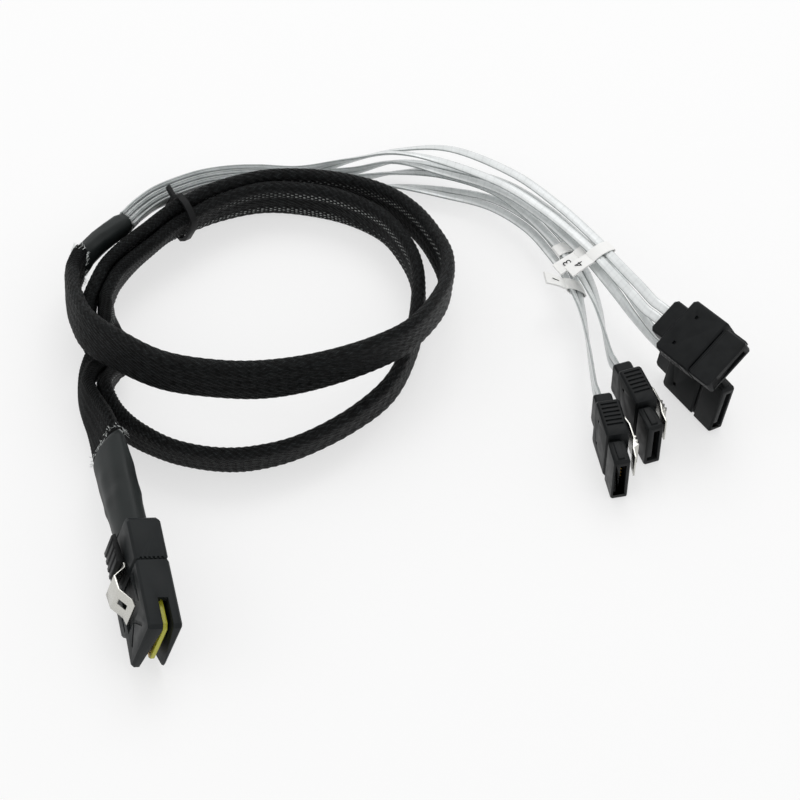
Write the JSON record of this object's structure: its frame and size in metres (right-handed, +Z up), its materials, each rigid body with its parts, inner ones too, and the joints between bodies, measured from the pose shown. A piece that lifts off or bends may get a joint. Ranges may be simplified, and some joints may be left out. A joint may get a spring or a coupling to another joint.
{
  "type": "mini sas to sata breakout cable",
  "caption": "Braided flat breakout cable, laid in a loose coil, from a latched mini SAS plug to separate latched SATA data plugs.",
  "frame": {"origin": "on the table, under the middle of the box round the five connectors", "axes": "+Z up, +X to the right and +Y away from the side that the picture was taken from"},
  "size_m": [0.1651, 0.1619, 0.0275],
  "materials": {
    "sleeve": "open braid of fine monofilament, matt",
    "shrink": "satin heat-shrink tube",
    "tie": "matt",
    "lead": "clear jacket over silvered shield",
    "label": "white label film",
    "plug": "fine moulded grain",
    "pad": "moulded, slight sheen",
    "steel": "bright spring steel",
    "card": "bare laminate edge",
    "sata": "moulded, slight sheen",
    "nose": "moulded, slight sheen",
    "contact": "gold plated"
  },
  "bodies": {
    "cable": {"plug_rear_cover": "plug", "plug_housing": "plug", "paddle_card": "card", "sata_1_body": "sata", "sata_1_nose": "nose", "sata_1_contacts": "contact", "sata_2_body": "sata", "sata_2_nose": "nose", "sata_2_contacts": "contact", "sata_3_body": "sata", "sata_3_nose": "nose", "sata_3_contacts": "contact", "sata_4_body": "sata", "sata_4_nose": "nose", "sata_4_contacts": "contact", "braided_sleeve": "sleeve", "plug_boot": "shrink", "breakout_shrink": "shrink", "lead_1a": "lead", "lead_1b": "lead", "lead_2a": "lead", "lead_2b": "lead", "lead_3a": "lead", "lead_3b": "lead", "lead_4a": "lead", "lead_4b": "lead", "label_1": "label", "label_2": "label", "label_3": "label", "label_4": "label", "cable_tie": "tie"},
    "plug_latch_spring": {"plug_latch": "steel", "plug_latch_pad": "pad"},
    "sata_1_latch_spring": {"sata_1_latch": "steel"},
    "sata_2_latch_spring": {"sata_2_latch": "steel"},
    "sata_3_latch_spring": {"sata_3_latch": "steel"},
    "sata_4_latch_spring": {"sata_4_latch": "steel"}
  },
  "joints": [
    {"name": "plug_latch_hinge", "type": "hinge", "parent": "cable", "child": "plug_latch_spring", "pos_m": [-0.07001, -0.02632, 0.01282], "axis": [-0.3061, 0.0225, -0.9517], "range_deg": [0, 4], "stiffness_Nm_per_rad": 0.05},
    {"name": "sata_1_latch_hinge", "type": "hinge", "parent": "cable", "child": "sata_1_latch_spring", "pos_m": [0.04443, 0.02289, 0.00745], "axis": [0, 0, -1], "range_deg": [0, 4], "stiffness_Nm_per_rad": 0.03},
    {"name": "sata_2_latch_hinge", "type": "hinge", "parent": "cable", "child": "sata_2_latch_spring", "pos_m": [0.05015, 0.03323, 0.00745], "axis": [0, 0, -1], "range_deg": [0, 4], "stiffness_Nm_per_rad": 0.03},
    {"name": "sata_3_latch_hinge", "type": "hinge", "parent": "cable", "child": "sata_3_latch_spring", "pos_m": [0.06259, 0.04267, 0.00718], "axis": [-0.1582, -0.1067, -0.9816], "range_deg": [0, 4], "stiffness_Nm_per_rad": 0.03},
    {"name": "sata_4_latch_hinge", "type": "hinge", "parent": "cable", "child": "sata_4_latch_spring", "pos_m": [0.06048, 0.04061, 0.01775], "axis": [-0.6729, -0.586, -0.4515], "range_deg": [0, 4], "stiffness_Nm_per_rad": 0.03}
  ]
}
